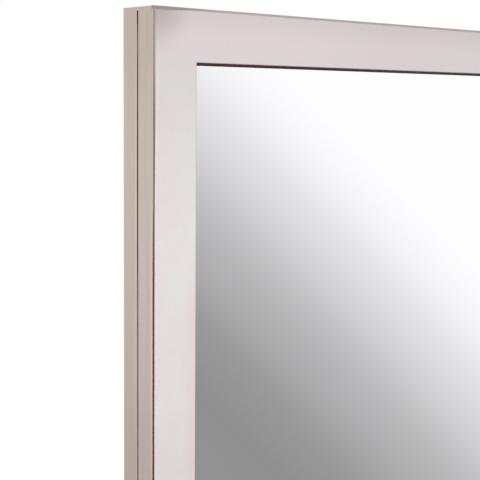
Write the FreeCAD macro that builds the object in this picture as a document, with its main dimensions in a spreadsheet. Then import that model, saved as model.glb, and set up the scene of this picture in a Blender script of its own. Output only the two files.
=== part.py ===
import FreeCAD, Part
import math
import os
import re
from collections import namedtuple

import Sketcher

# Window mirror: two mitred wooden frames, one behind the other, with a cross of glazing bars in the
# front frame and four silvered panes in the rear one.
# The pieces are drawn with the mirror on its back: x is the width, y is the height, and z is the
# distance from the wall towards the room. Each piece is then stood upright, so the room is at -Y,
# the wall is the plane Y = 0, and the origin is in the middle of the mirror's outline on that wall.

# Sizes in millimetres
SIZES = [
    ("overall_width", 940, "outside width"),
    ("overall_height", 1250, "outside height"),
    ("face_width", 40, "front frame member, seen from the front"),
    ("front_depth", 19, "front frame, front to back"),
    ("glass_lap", 12, "how far the front frame laps over the rear frame's opening"),
    ("rear_width", "=face_width - glass_lap", "rear frame member, seen from behind"),
    ("rear_depth", 19, "rear frame, front to back"),
    ("lip_depth", 6, "front frame's lip, back into the rear frame's opening as far as the glass"),
    ("lip_clearance", 0.2, "lip to rear frame"),
    ("arris_radius", 1.0, "rounding of the front frame's outer arris"),
    ("inner_arris_radius", 0.6, "rounding of the front frame's sight edge"),
    ("back_arris_radius", 1.0, "rounding of the rear frame's outer arris"),
    ("groove_width", 1.7, "shadow groove between the two frames"),
    ("groove_depth", 2.0, "how far the groove goes in"),
    ("groove_stop", 2.7, "the groove ends this far from each corner"),
    ("key_side", 24, "square corner key in the front frame's mitres"),
    ("key_thickness", 4, "corner key's thickness"),
    ("key_clearance", 0.1, "corner key in its slot, each side"),
    ("bar_width", 20, "glazing bar, seen from the front"),
    ("bar_setback", 8, "glazing bar's face behind the frame's face"),
    ("bar_arris_radius", 0.8, "rounding of the glazing bar's front arrises"),
    ("tenon_length", 8, "stub tenon at each end of a bar"),
    ("tenon_width", 12, "stub tenon across the bar"),
    ("tenon_thickness", 6, "stub tenon, front to back"),
    ("tenon_clearance", 0.15, "stub tenon in its mortise, each side"),
    ("halving_clearance", 0.1, "play where the bars are halved together"),
    ("pane_thickness", 4, "silvered glass"),
    ("pane_edge_gap", 1.5, "pane to rear frame"),
    ("spacer_width", 3, "strip between two panes"),
    ("spacer_gap", 0.5, "pane to spacer strip"),
    ("board_thickness", 3, "hardboard back"),
    ("board_edge_gap", 1.0, "hardboard to rear frame"),
    ("bead_width", 12, "retaining bead, seen from behind"),
    ("bead_depth", 5, "retaining bead, front to back"),
    ("bead_gap", 0.1, "bead to rear frame"),
    ("pin_diameter", 1.6, "panel pin through a bead"),
    ("pin_grip", 7, "panel pin's length inside the rear frame"),
    ("pin_margin", 70, "end panel pin from the bead's end"),
    ("layer_screw_diameter", 3.5, "screw through the rear frame into the front one"),
    ("layer_screw_head", 7, "its countersunk head"),
    ("layer_screw_length", 30, "its length"),
    ("brace_arm", 70, "corner brace, outside length of an arm"),
    ("brace_width", 16, "corner brace, width of an arm"),
    ("brace_thickness", 2, "corner brace, plate"),
    ("brace_inset", 6, "corner brace from the frame's outside"),
    ("brace_hole_end", 9, "brace hole from the arm's end and from the other arm"),
    ("brace_corner_radius", 2.5, "rounding of the brace's arm ends"),
    ("brace_screw_diameter", 3, "brace screw"),
    ("brace_screw_head", 5.6, "its countersunk head"),
    ("brace_screw_length", 14, "its length"),
    ("fitting_gap", 12, "room between fittings along a frame member"),
    ("hanger_inset", 17, "hanger strap's middle from the frame's outside"),
    ("strap_width", 13, "hanger strap"),
    ("strap_thickness", 1.2, "hanger strap's sheet"),
    ("strap_length", 46, "hanger strap below its eye"),
    ("strap_corner_radius", 4, "rounding of the strap's lower corners"),
    ("strap_hole_end", 7, "lower strap hole from the strap's end"),
    ("strap_hole_pitch", 10, "between the strap's holes"),
    ("hanger_screw_diameter", 3, "hanger screw"),
    ("hanger_screw_head", 6, "its round head"),
    ("hanger_screw_length", 14, "its length under the head"),
    ("ring_wire", 3, "ring's wire"),
    ("ring_play", 0.3, "ring's wire in the strap's eye, all round"),
    ("ring_width", 20, "ring, between the middles of its legs"),
    ("ring_corner_radius", 3, "bend between the ring's bar and leg"),
    ("ring_leg", 3, "straight leg of the ring"),
    ("bumper_diameter", 16, "rubber bumper at the frame"),
    ("bumper_taper", 1, "bumper's radius lost towards the wall"),
    ("bumper_height", 7, "bumper, and so the frame's distance from the wall"),
    ("bumper_recess", 8, "bumper's recess for the screw head"),
    ("bumper_floor", 3, "rubber under the screw head"),
    ("bumper_screw_diameter", 3, "bumper screw"),
    ("bumper_screw_head", 6, "its round head"),
    ("bumper_screw_length", 16, "its length under the head"),
    ("round_head_height", 2, "round screw head"),
    ("round_head_rounding", 1.2, "rounding of a round screw head"),
    ("screw_tip", 3, "point of a screw"),
    ("screw_clearance", 0.1, "screw or pin in its hole, all round"),
    ("recess_length", 2.8, "cross recess, end to end"),
    ("recess_width", 0.7, "cross recess, across one slot"),
    ("recess_depth", 1.0, "cross recess, deep"),
    ("hole_end_room", 1, "blind hole past the end of what it holds"),
]

# Screws along each rear stile and rail, and pins along each bead.
STILE_SCREWS = 4
RAIL_SCREWS = 3
BEAD_PINS = 3

doc = FreeCAD.newDocument("window_mirror")
sheet = doc.addObject("Spreadsheet::Sheet", "sizes")
for row, (alias, size, meaning) in enumerate(SIZES, start=1):
    sheet.set(f"A{row}", meaning)
    sheet.set(f"B{row}", str(size))
    sheet.setAlias(f"B{row}", alias)
doc.recompute()

ORIGIN = FreeCAD.Vector(0, 0, 0)
X_AXIS = FreeCAD.Vector(1, 0, 0)
Y_AXIS = FreeCAD.Vector(0, 1, 0)
Z_AXIS = FreeCAD.Vector(0, 0, 1)
QUARTER_TURN = 90
HALF_TURN = 180
FULL_TURN = 360
UPRIGHT = FreeCAD.Rotation(X_AXIS, QUARTER_TURN)
TOLERANCE = 1e-4
SMALLEST_CUT = 0.01
SWEEP_TOLERANCE = 0.001

parts = []


# Sizes and expressions

def cells(expression):
    """An expression of plain size names, as the sheet's cells."""
    return re.sub(r"[a-z][a-z_]*", lambda word: "sizes." + word.group(), str(expression))


def number(expression):
    return float(sheet.evalExpression(cells(expression)))


def bind(thing, name, expression):
    thing.setExpression(name, cells(expression))


def spread(count, span):
    """Evenly spaced places along a span that is centred on zero."""
    return [f"({span}) * {2 * index - (count - 1)} / {2 * (count - 1)}" for index in range(count)]


BAR_DEPTH = "(front_depth + lip_depth - bar_setback)"
FRAME_BACK = "bumper_height"
SEAM = "(bumper_height + rear_depth)"
PANE_FRONT = f"({SEAM} - lip_depth)"
PANE_BACK = f"({PANE_FRONT} - pane_thickness)"
BOARD_BACK = f"({PANE_BACK} - board_thickness)"
BEAD_BACK = f"({BOARD_BACK} - bead_depth)"
REAR_MIDDLE = "(rear_width / 2)"
PIN_LENGTH = "(bead_width + bead_gap + pin_grip)"
EYE_RADIUS = "(ring_wire / 2 + ring_play)"
KNUCKLE_RADIUS = f"({EYE_RADIUS} + strap_thickness)"
BRACE_MIDDLE = "(brace_inset + brace_width / 2)"
BRACE_HOLES = ("(brace_width + brace_hole_end)", "(brace_arm - brace_hole_end)")
BUMPER_CORNER = "(brace_inset + brace_arm + fitting_gap + bumper_diameter / 2)"
SCREW_CORNER = f"({BUMPER_CORNER} + bumper_diameter / 2 + fitting_gap + layer_screw_head / 2)"
STILE_SPAN = f"(overall_height - 2 * {SCREW_CORNER})"
RAIL_SPAN = f"(overall_width - 2 * {SCREW_CORNER})"
HANGER_EYE = f"({STILE_SPAN} / 2 - {STILE_SPAN} / {2 * (STILE_SCREWS - 1)} + strap_length / 2)"
STRAP_HOLES = ("(strap_hole_end - strap_length)", "(strap_hole_end + strap_hole_pitch - strap_length)")

STRAP_SCREW = ("hanger_screw_diameter", "(hanger_screw_length - strap_thickness)")
BRACE_SCREW = ("brace_screw_diameter", "(brace_screw_length - brace_thickness)")
BUMPER_SCREW = ("bumper_screw_diameter", "(bumper_screw_length - bumper_floor)")
STRAP_PLACES = {
    "left_stile": [f"({HANGER_EYE} + {place})" for place in STRAP_HOLES],
    "right_stile": [f"-({HANGER_EYE} + {place})" for place in STRAP_HOLES],
}
BUMPER_PLACES = [f"{sign}(overall_width / 2 - {BUMPER_CORNER})" for sign in ("", "-")]

# A side of the frame: the turn that points its member's x inward, the middle of its outer edge, the
# way inward, its length, its screws' span and their number.
Side = namedtuple("Side", "turn x y inward_x inward_y length screw_span screws")
STILE = ("overall_height", STILE_SPAN, STILE_SCREWS)
RAIL = ("overall_width", RAIL_SPAN, RAIL_SCREWS)
SIDES = {
    "left_stile": Side(0, "-overall_width / 2", "0", 1, 0, *STILE),
    "right_stile": Side(HALF_TURN, "overall_width / 2", "0", -1, 0, *STILE),
    "top_rail": Side(-QUARTER_TURN, "0", "overall_height / 2", 0, -1, *RAIL),
    "bottom_rail": Side(QUARTER_TURN, "0", "-overall_height / 2", 0, 1, *RAIL),
}

# A corner of the frame: the turn of its brace and which way the corner lies from the middle.
Corner = namedtuple("Corner", "turn sign_x sign_y")
CORNERS = {
    "bottom_left": Corner(0, -1, -1),
    "top_left": Corner(-QUARTER_TURN, -1, 1),
    "top_right": Corner(HALF_TURN, 1, 1),
    "bottom_right": Corner(QUARTER_TURN, 1, -1),
}


# Sketches and features

def new_body(name):
    return doc.addObject("PartDesign::Body", name)


def new_sketch(body, plane="XY_Plane", lift="0"):
    sketch = body.newObject("Sketcher::SketchObject", "sketch")
    support = [feature for feature in body.Origin.OriginFeatures if feature.Role == plane]
    sketch.AttachmentSupport = [(support[0], "")]
    sketch.MapMode = "FlatFace"
    bind(sketch, "AttachmentOffset.Base.z", lift)
    return sketch


def point(x, y):
    return FreeCAD.Vector(number(x), number(y), 0)


def hold(sketch, kind, expression, *places):
    constraint = sketch.addConstraint(Sketcher.Constraint(kind, *places, number(expression)))
    bind(sketch, f"Constraints[{constraint}]", expression)


def hold_point(sketch, geometry, end, x, y):
    hold(sketch, "DistanceX", x, -1, 1, geometry, end)
    hold(sketch, "DistanceY", y, -1, 1, geometry, end)


def outline(sketch, corners):
    """A closed outline of straight lines through corners given as expressions."""
    points = [point(x, y) for x, y in corners]
    first = sketch.GeometryCount
    for start, end in zip(points, points[1:] + points[:1]):
        sketch.addGeometry(Part.LineSegment(start, end), False)
    for index, (x, y) in enumerate(corners):
        after = first + (index + 1) % len(corners)
        sketch.addConstraint(Sketcher.Constraint("Coincident", first + index, 2, after, 1))
        hold_point(sketch, first + index, 1, x, y)


def rectangle(sketch, low_x, low_y, high_x, high_y):
    outline(sketch, [(low_x, low_y), (high_x, low_y), (high_x, high_y), (low_x, high_y)])


def circle(sketch, x, y, radius):
    index = sketch.addGeometry(Part.Circle(point(x, y), Z_AXIS, number(radius)), False)
    hold_point(sketch, index, 3, x, y)
    hold(sketch, "Radius", radius, index)


def pad(body, sketch, length, reverse=False, side="One side"):
    feature = body.newObject("PartDesign::Pad", "pad")
    feature.Profile = sketch
    feature.SideType = side
    feature.Reversed = reverse
    bind(feature, "Length", length)
    doc.recompute()


def pocket(body, sketch, length, reverse=True, side="One side"):
    """A cut from the sketch towards +z, or +x on a YZ sketch, that has to remove something."""
    doc.recompute()
    before = body.Shape.Volume
    feature = body.newObject("PartDesign::Pocket", "pocket")
    feature.Profile = sketch
    feature.SideType = side
    feature.Reversed = reverse
    bind(feature, "Length", length)
    doc.recompute()
    if before - body.Shape.Volume < SMALLEST_CUT:
        raise RuntimeError(f"a pocket in {body.Name} cuts nothing")


def revolve(body, sketch):
    feature = body.newObject("PartDesign::Revolution", "revolution")
    feature.Profile = sketch
    feature.ReferenceAxis = (sketch, ["V_Axis"])
    feature.Angle = FULL_TURN
    doc.recompute()


def dress(body, kind, size_name, size, wanted):
    """A fillet or chamfer on the edges that wanted picks out."""
    doc.recompute()
    tip = body.Tip
    names = [f"Edge{index}" for index, edge in enumerate(tip.Shape.Edges, start=1) if wanted(edge)]
    if not names:
        raise RuntimeError(f"no edge to dress in {body.Name}")
    feature = body.newObject("PartDesign::" + kind, "dress")
    feature.Base = (tip, names)
    bind(feature, size_name, size)
    doc.recompute()


def on_line(edge, x=None, y=None, z=None):
    """True for an edge whose ends both have the given coordinates."""
    wanted = [None if size is None else number(size) for size in (x, y, z)]
    for vertex in edge.Vertexes:
        for found, size in zip(vertex.Point, wanted):
            if size is not None and abs(found - size) > TOLERANCE:
                return False
    return True


def is_upright(edge):
    start, end = edge.Vertexes[0].Point, edge.Vertexes[-1].Point
    return abs(start.z - end.z) > TOLERANCE


def is_rim(edge, radius, z):
    """True for a round edge of the given radius at the given level."""
    if edge.Curve.TypeId != "Part::GeomCircle":
        return False
    right_size = abs(edge.Curve.Radius - number(radius)) < TOLERANCE
    return right_size and abs(edge.Curve.Center.z - number(z)) < TOLERANCE


# Places

def stand(piece, label, x, y, level, turn=0):
    """Names a piece, stands it upright and ties its place to the sheet."""
    piece.Label = label
    piece.Placement = FreeCAD.Placement(ORIGIN, UPRIGHT.multiply(FreeCAD.Rotation(Z_AXIS, turn)))
    bind(piece, "Placement.Base.x", x)
    bind(piece, "Placement.Base.y", f"-({level})")
    bind(piece, "Placement.Base.z", y)
    parts.append(piece)


def on_side(side, x, y, level):
    """The placement of a spot given in a side's own x and y."""
    frame = FreeCAD.Placement(point(side.x, side.y), FreeCAD.Rotation(Z_AXIS, side.turn))
    spot = FreeCAD.Placement(FreeCAD.Vector(number(x), number(y), number(level)), FreeCAD.Rotation())
    return frame.multiply(spot)


def group(label, master, places):
    """One node of equal solids, a copy of the master at each place."""
    node = doc.addObject("Part::Feature", label)
    node.Label = label
    copies = []
    for place in places:
        copy = master.Shape.copy()
        copy.Placement = place
        copies.append(copy)
    node.Shape = Part.makeCompound(copies)
    node.Placement = FreeCAD.Placement(ORIGIN, UPRIGHT)
    parts.append(node)


def slab(label, low_x, low_y, level, length, width, height):
    piece = doc.addObject("Part::Box", label)
    bind(piece, "Length", length)
    bind(piece, "Width", width)
    bind(piece, "Height", height)
    stand(piece, label, low_x, low_y, level)


# Frames and beads

def mitred_outline(body, length, outer, inner):
    """A strip along y between x = outer and x = inner, cut at the mitres of a frame of that length."""
    sketch = new_sketch(body)
    half = f"({length}) / 2"
    outline(sketch, [
        (outer, f"-{half} + {outer}"),
        (inner, f"-{half} + {inner}"),
        (inner, f"{half} - {inner}"),
        (outer, f"{half} - {outer}"),
    ])
    return sketch


def mitred_bar(name, length, width, depth):
    """A bar along y with its outer face at x = 0 and both ends mitred."""
    body = new_body(name)
    pad(body, mitred_outline(body, length, "0", width), depth)
    return body


def front_member(name, side):
    body = mitred_bar(name, side.length, "face_width", "front_depth")
    lip = mitred_outline(body, side.length, "(rear_width + lip_clearance)", "face_width")
    pad(body, lip, "lip_depth", reverse=True)
    dress(body, "Fillet", "Radius", "arris_radius", lambda edge: on_line(edge, x="0", z="front_depth"))
    dress(body, "Fillet", "Radius", "inner_arris_radius",
          lambda edge: on_line(edge, x="face_width", z="front_depth"))

    mortise = new_sketch(body, lift=f"({BAR_DEPTH} - tenon_thickness) / 2 - lip_depth - tenon_clearance")
    mortise_half = "tenon_width / 2 + tenon_clearance"
    mortise_floor = "face_width - tenon_length - hole_end_room"
    rectangle(mortise, mortise_floor, f"-({mortise_half})", "face_width", mortise_half)
    pocket(body, mortise, "tenon_thickness + 2 * tenon_clearance")

    slots = new_sketch(body, lift="(front_depth - key_thickness) / 2 - key_clearance")
    slot_half = "(key_side / 2 + key_clearance)"
    for sign in ("", "-"):
        middle = f"{sign}({side.length} / 2 - face_width / 2)"
        rectangle(slots, f"face_width / 2 - {slot_half}", f"{middle} - {slot_half}",
                  f"face_width / 2 + {slot_half}", f"{middle} + {slot_half}")
    pocket(body, slots, "key_thickness + 2 * key_clearance")

    pilots = new_sketch(body)
    for place in spread(side.screws, side.screw_span):
        circle(pilots, REAR_MIDDLE, place, "layer_screw_diameter / 2 + screw_clearance")
    pocket(body, pilots, "layer_screw_length - rear_depth + hole_end_room")
    stand(body, name, side.x, side.y, SEAM, side.turn)


def blind_holes(body, x, places, diameter, grip):
    """Holes from the back of a rear member for screws that go in by their grip."""
    sketch = new_sketch(body)
    for place in places:
        circle(sketch, x, place, f"{diameter} / 2 + screw_clearance")
    pocket(body, sketch, f"{grip} + hole_end_room")


def rear_member(name, side, fittings):
    body = mitred_bar(name, side.length, "rear_width", "rear_depth")
    dress(body, "Fillet", "Radius", "back_arris_radius", lambda edge: on_line(edge, x="0", z="0"))

    groove = new_sketch(body, lift="rear_depth - groove_width")
    groove_end = f"{side.length} / 2 - groove_stop"
    rectangle(groove, "0", f"-({groove_end})", "groove_depth", groove_end)
    pocket(body, groove, "groove_width")

    holes = new_sketch(body)
    for place in spread(side.screws, side.screw_span):
        circle(holes, REAR_MIDDLE, place, "layer_screw_diameter / 2 + screw_clearance")
    pocket(body, holes, "rear_depth")
    dress(body, "Chamfer", "Size", "(layer_screw_head - layer_screw_diameter) / 2",
          lambda edge: is_rim(edge, "layer_screw_diameter / 2 + screw_clearance", "0"))

    blind_holes(body, BRACE_MIDDLE, brace_places(side), *BRACE_SCREW)
    blind_holes(body, *fittings)

    pins = new_sketch(body, plane="YZ_Plane", lift="rear_width - pin_grip - hole_end_room")
    pin_level = f"{BEAD_BACK} + bead_depth / 2 - {FRAME_BACK}"
    for place in pin_places(side):
        circle(pins, place, pin_level, "pin_diameter / 2 + screw_clearance")
    pocket(body, pins, "pin_grip + hole_end_room")
    stand(body, name, side.x, side.y, FRAME_BACK, side.turn)


def brace_places(side):
    """The brace screws along a rear member, at both its ends."""
    from_middle = [f"({side.length} / 2 - brace_inset - {reach})" for reach in BRACE_HOLES]
    return from_middle + ["-" + place for place in from_middle]


def bead_length(side):
    return f"({side.length} - 2 * (rear_width + bead_gap))"


def pin_places(side):
    return spread(BEAD_PINS, f"{bead_length(side)} - 2 * pin_margin")


def bead(name, side):
    body = mitred_bar(name, bead_length(side), "bead_width", "bead_depth")
    pins = new_sketch(body, plane="YZ_Plane")
    for place in pin_places(side):
        circle(pins, place, "bead_depth / 2", "pin_diameter / 2 + screw_clearance")
    pocket(body, pins, "bead_width")
    stand(body, name, f"{side.x} + {side.inward_x} * (rear_width + bead_gap)",
          f"{side.y} + {side.inward_y} * (rear_width + bead_gap)", BEAD_BACK, side.turn)


# Glazing bars, panes and board

def glazing_bar(name, opening, turn, notch_level):
    """A bar with stub tenons, notched to half its depth in the middle from notch_level up."""
    body = new_body(name)
    shaft = new_sketch(body)
    rectangle(shaft, "-bar_width / 2", f"-({opening}) / 2", "bar_width / 2", f"({opening}) / 2")
    pad(body, shaft, BAR_DEPTH)
    for long_edge in ("bar_width / 2", "-bar_width / 2"):
        dress(body, "Fillet", "Radius", "bar_arris_radius",
              lambda edge: on_line(edge, x=long_edge, z=BAR_DEPTH))
    tenons = new_sketch(body, lift=f"({BAR_DEPTH} - tenon_thickness) / 2")
    tenon_end = f"({opening}) / 2 + tenon_length"
    rectangle(tenons, "-tenon_width / 2", f"-({tenon_end})", "tenon_width / 2", tenon_end)
    pad(body, tenons, "tenon_thickness")
    notch = new_sketch(body, lift=notch_level)
    notch_half = "bar_width / 2 + halving_clearance"
    rectangle(notch, "-bar_width / 2", f"-({notch_half})", "bar_width / 2", notch_half)
    pocket(body, notch, f"({BAR_DEPTH} + halving_clearance) / 2")
    stand(body, name, "0", "0", PANE_FRONT, turn)


def panes():
    inner = "(spacer_width / 2 + spacer_gap)"
    width = f"(overall_width / 2 - rear_width - pane_edge_gap - {inner})"
    height = f"(overall_height / 2 - rear_width - pane_edge_gap - {inner})"
    for row_name, low_y in (("top", inner), ("bottom", f"-{inner} - {height}")):
        for column_name, low_x in (("left", f"-{inner} - {width}"), ("right", inner)):
            slab(f"mirror_pane_{row_name}_{column_name}", low_x, low_y, PANE_BACK,
                 width, height, "pane_thickness")


def spacers():
    reach_x = "(overall_width / 2 - rear_width - pane_edge_gap)"
    reach_y = "(overall_height / 2 - rear_width - pane_edge_gap)"
    slab("pane_spacer_long", "-spacer_width / 2", f"-{reach_y}", PANE_BACK,
         "spacer_width", f"2 * {reach_y}", "pane_thickness")
    for name, low_x in (("left", f"-{reach_x}"), ("right", "spacer_width / 2")):
        slab(f"pane_spacer_{name}", low_x, "-spacer_width / 2", PANE_BACK,
             f"{reach_x} - spacer_width / 2", "spacer_width", "pane_thickness")


def backing_board():
    half_x = "(overall_width / 2 - rear_width - board_edge_gap)"
    half_y = "(overall_height / 2 - rear_width - board_edge_gap)"
    slab("backing_board", f"-{half_x}", f"-{half_y}", BOARD_BACK,
         f"2 * {half_x}", f"2 * {half_y}", "board_thickness")


# Screws, pins and keys

def cross_recess(body, level):
    sketch = new_sketch(body, lift=level)
    far = "recess_length / 2"
    near = "recess_width / 2"
    outline(sketch, [
        (far, f"-{near}"), (far, near), (near, near), (near, far), (f"-{near}", far), (f"-{near}", near),
        (f"-{far}", near), (f"-{far}", f"-{near}"), (f"-{near}", f"-{near}"), (f"-{near}", f"-{far}"),
        (near, f"-{far}"), (near, f"-{near}"),
    ])
    pocket(body, sketch, "recess_depth")


def countersunk_screw(kind):
    """A screw whose flat head is at z = 0 and whose point is up."""
    body = new_body(f"{kind}_screw_pattern")
    sketch = new_sketch(body, plane="XZ_Plane")
    head = f"{kind}_screw_head / 2"
    shank = f"{kind}_screw_diameter / 2"
    outline(sketch, [
        ("0", "0"), (head, "0"), (shank, f"{head} - {shank}"), (shank, f"{kind}_screw_length - screw_tip"),
        ("0", f"{kind}_screw_length"),
    ])
    revolve(body, sketch)
    cross_recess(body, "0")
    return body


def round_head_screw(kind):
    """A screw whose round head is under z = 0 and whose point is up."""
    body = new_body(f"{kind}_screw_pattern")
    sketch = new_sketch(body, plane="XZ_Plane")
    head = f"{kind}_screw_head / 2"
    shank = f"{kind}_screw_diameter / 2"
    outline(sketch, [
        ("0", "-round_head_height"), (head, "-round_head_height"), (head, "0"), (shank, "0"),
        (shank, f"{kind}_screw_length - screw_tip"), ("0", f"{kind}_screw_length"),
    ])
    revolve(body, sketch)
    dress(body, "Fillet", "Radius", "round_head_rounding",
          lambda edge: is_rim(edge, head, "-round_head_height"))
    cross_recess(body, "-round_head_height")
    return body


def layer_screws():
    places = []
    for side in SIDES.values():
        for place in spread(side.screws, side.screw_span):
            places.append(on_side(side, REAR_MIDDLE, place, FRAME_BACK))
    group("layer_screws", countersunk_screw("layer"), places)


def bead_pins():
    pin = doc.addObject("Part::Cylinder", "pin_pattern")
    bind(pin, "Radius", "pin_diameter / 2")
    bind(pin, "Height", PIN_LENGTH)
    doc.recompute()
    lie_down = FreeCAD.Placement(ORIGIN, FreeCAD.Rotation(Y_AXIS, QUARTER_TURN))
    places = []
    for side in SIDES.values():
        for place in pin_places(side):
            spot = on_side(side, "rear_width - pin_grip", place, f"{BEAD_BACK} + bead_depth / 2")
            places.append(spot.multiply(lie_down))
    group("bead_pins", pin, places)


def corner_keys():
    key = doc.addObject("Part::Box", "key_pattern")
    bind(key, "Length", "key_side")
    bind(key, "Width", "key_side")
    bind(key, "Height", "key_thickness")
    doc.recompute()
    level = number(f"{SEAM} + (front_depth - key_thickness) / 2")
    places = []
    for corner in CORNERS.values():
        low_x = number(f"{corner.sign_x} * (overall_width / 2 - face_width / 2) - key_side / 2")
        low_y = number(f"{corner.sign_y} * (overall_height / 2 - face_width / 2) - key_side / 2")
        places.append(FreeCAD.Placement(FreeCAD.Vector(low_x, low_y, level), FreeCAD.Rotation()))
    group("corner_keys", key, places)


# Braces, hangers and bumpers

def corner_brace(name, corner):
    body = new_body(name)
    plate = new_sketch(body)
    outline(plate, [
        ("0", "0"), ("brace_arm", "0"), ("brace_arm", "brace_width"), ("brace_width", "brace_width"),
        ("brace_width", "brace_arm"), ("0", "brace_arm"),
    ])
    pad(body, plate, "brace_thickness")
    dress(body, "Fillet", "Radius", "brace_corner_radius",
          lambda edge: is_upright(edge) and (on_line(edge, x="brace_arm") or on_line(edge, y="brace_arm")))
    holes = new_sketch(body)
    hole_radius = "brace_screw_diameter / 2 + screw_clearance"
    for reach in BRACE_HOLES:
        circle(holes, reach, "brace_width / 2", hole_radius)
        circle(holes, "brace_width / 2", reach, hole_radius)
    pocket(body, holes, "brace_thickness")
    dress(body, "Chamfer", "Size", "(brace_screw_head - brace_screw_diameter) / 2",
          lambda edge: is_rim(edge, hole_radius, "0"))
    stand(body, name, f"{corner.sign_x} * (overall_width / 2 - brace_inset)",
          f"{corner.sign_y} * (overall_height / 2 - brace_inset)", f"{FRAME_BACK} - brace_thickness",
          corner.turn)


def brace_screws():
    places = []
    for side in SIDES.values():
        for place in brace_places(side):
            places.append(on_side(side, BRACE_MIDDLE, place, f"{FRAME_BACK} - brace_thickness"))
    group("brace_screws", countersunk_screw("brace"), places)


def hanger_strap(hand, sign):
    """A strap that hangs from its rolled eye: the eye is along x at y = 0, under the frame's back."""
    body = new_body(f"hanger_strap_{hand}")
    leaf = new_sketch(body)
    rectangle(leaf, "-strap_width / 2", "-strap_length", "strap_width / 2", "0")
    pad(body, leaf, "strap_thickness", reverse=True)
    dress(body, "Fillet", "Radius", "strap_corner_radius",
          lambda edge: is_upright(edge) and on_line(edge, y="-strap_length"))
    knuckle = new_sketch(body, plane="YZ_Plane")
    circle(knuckle, "0", f"-{KNUCKLE_RADIUS}", KNUCKLE_RADIUS)
    pad(body, knuckle, "strap_width", side="Symmetric")
    eye = new_sketch(body, plane="YZ_Plane")
    circle(eye, "0", f"-{KNUCKLE_RADIUS}", EYE_RADIUS)
    pocket(body, eye, "strap_width", side="Symmetric")
    holes = new_sketch(body)
    for place in STRAP_HOLES:
        circle(holes, "0", place, "hanger_screw_diameter / 2 + screw_clearance")
    pocket(body, holes, "strap_thickness", reverse=False)
    stand(body, f"hanger_strap_{hand}", f"{sign} * (overall_width / 2 - hanger_inset)",
          HANGER_EYE, FRAME_BACK)


def hanger_ring(hand, sign):
    """A D of round wire that hangs from its straight bar."""
    body = new_body(f"hanger_ring_{hand}")
    half = "ring_width / 2"
    bar_end = f"({half} - ring_corner_radius)"
    bend_level = "-ring_corner_radius"
    leg_end = "(-ring_corner_radius - ring_leg)"
    starts = [
        (f"-{bar_end}", "0"), (f"-{half}", bend_level), (f"-{half}", leg_end),
        (half, leg_end), (half, bend_level), (bar_end, "0"),
    ]
    # The arcs, by the place where each begins: centre, radius and the angles between which it runs.
    bends = {
        0: (f"-{bar_end}", bend_level, "ring_corner_radius", QUARTER_TURN, HALF_TURN),
        2: ("0", leg_end, half, HALF_TURN, FULL_TURN),
        4: (bar_end, bend_level, "ring_corner_radius", 0, QUARTER_TURN),
    }
    path = new_sketch(body)
    for index, start in enumerate(starts):
        end = starts[(index + 1) % len(starts)]
        if index in bends:
            x, y, radius, first_angle, last_angle = bends[index]
            round_line = Part.Circle(point(x, y), Z_AXIS, number(radius))
            stretch = Part.ArcOfCircle(round_line, math.radians(first_angle), math.radians(last_angle))
        else:
            stretch = Part.LineSegment(point(*start), point(*end))
        path.addGeometry(stretch, False)
    for index, (x, y) in enumerate(starts):
        path.addConstraint(Sketcher.Constraint("Coincident", index, 2, (index + 1) % len(starts), 1))
        hold_point(path, index, 1, x, y)
        if index in bends:
            hold(path, "DistanceY", bends[index][1], -1, 1, index, 3)
    profile = new_sketch(body, plane="YZ_Plane")
    circle(profile, "0", "0", "ring_wire / 2")
    pipe = body.newObject("PartDesign::AdditivePipe", "pipe")
    pipe.Profile = profile
    pipe.Spine = (path, [])
    doc.recompute()
    swept = path.Shape.Length * math.pi * number("ring_wire / 2") ** 2
    if abs(body.Shape.Volume - swept) > SWEEP_TOLERANCE * swept:
        raise RuntimeError(f"{body.Name} is not its wire swept along its path")
    stand(body, f"hanger_ring_{hand}", f"{sign} * (overall_width / 2 - hanger_inset)", HANGER_EYE,
          f"{FRAME_BACK} - {KNUCKLE_RADIUS}")


def hanger_screws():
    places = []
    for name, heights in STRAP_PLACES.items():
        for height in heights:
            places.append(on_side(SIDES[name], "hanger_inset", height, f"{FRAME_BACK} - strap_thickness"))
    group("hanger_screws", round_head_screw("hanger"), places)


def wall_bumpers():
    body = new_body("bumper_pattern")
    sketch = new_sketch(body, plane="XZ_Plane")
    hole = "bumper_screw_diameter / 2 + screw_clearance"
    recess_top = "bumper_height - bumper_floor"
    outline(sketch, [
        ("bumper_recess / 2", "0"), ("bumper_diameter / 2 - bumper_taper", "0"),
        ("bumper_diameter / 2", "bumper_height"), (hole, "bumper_height"),
        (hole, recess_top), ("bumper_recess / 2", recess_top),
    ])
    revolve(body, sketch)
    spots = [(SIDES[name], place) for name in ("top_rail", "bottom_rail") for place in BUMPER_PLACES]
    group("wall_bumpers", body, [on_side(side, REAR_MIDDLE, place, "0") for side, place in spots])
    group("bumper_screws", round_head_screw("bumper"),
          [on_side(side, REAR_MIDDLE, place, recess_top) for side, place in spots])


# The mirror

for side_name, frame_side in SIDES.items():
    if side_name in STRAP_PLACES:
        side_fittings = ("hanger_inset", STRAP_PLACES[side_name], *STRAP_SCREW)
    else:
        side_fittings = (REAR_MIDDLE, BUMPER_PLACES, *BUMPER_SCREW)
    front_member(f"front_{side_name}", frame_side)
    rear_member(f"rear_{side_name}", frame_side, side_fittings)
    bead("bead_" + side_name.split("_")[0], frame_side)
corner_keys()
glazing_bar("vertical_bar", "overall_height - 2 * face_width", 0, "0")
glazing_bar("cross_bar", "overall_width - 2 * face_width", QUARTER_TURN,
            f"({BAR_DEPTH} - halving_clearance) / 2")
panes()
spacers()
backing_board()
bead_pins()
layer_screws()
for corner_name, frame_corner in CORNERS.items():
    corner_brace(f"corner_brace_{corner_name}", frame_corner)
brace_screws()
for hand_name, hand_sign in (("left", -1), ("right", 1)):
    hanger_strap(hand_name, hand_sign)
    hanger_ring(hand_name, hand_sign)
hanger_screws()
wall_bumpers()

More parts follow.
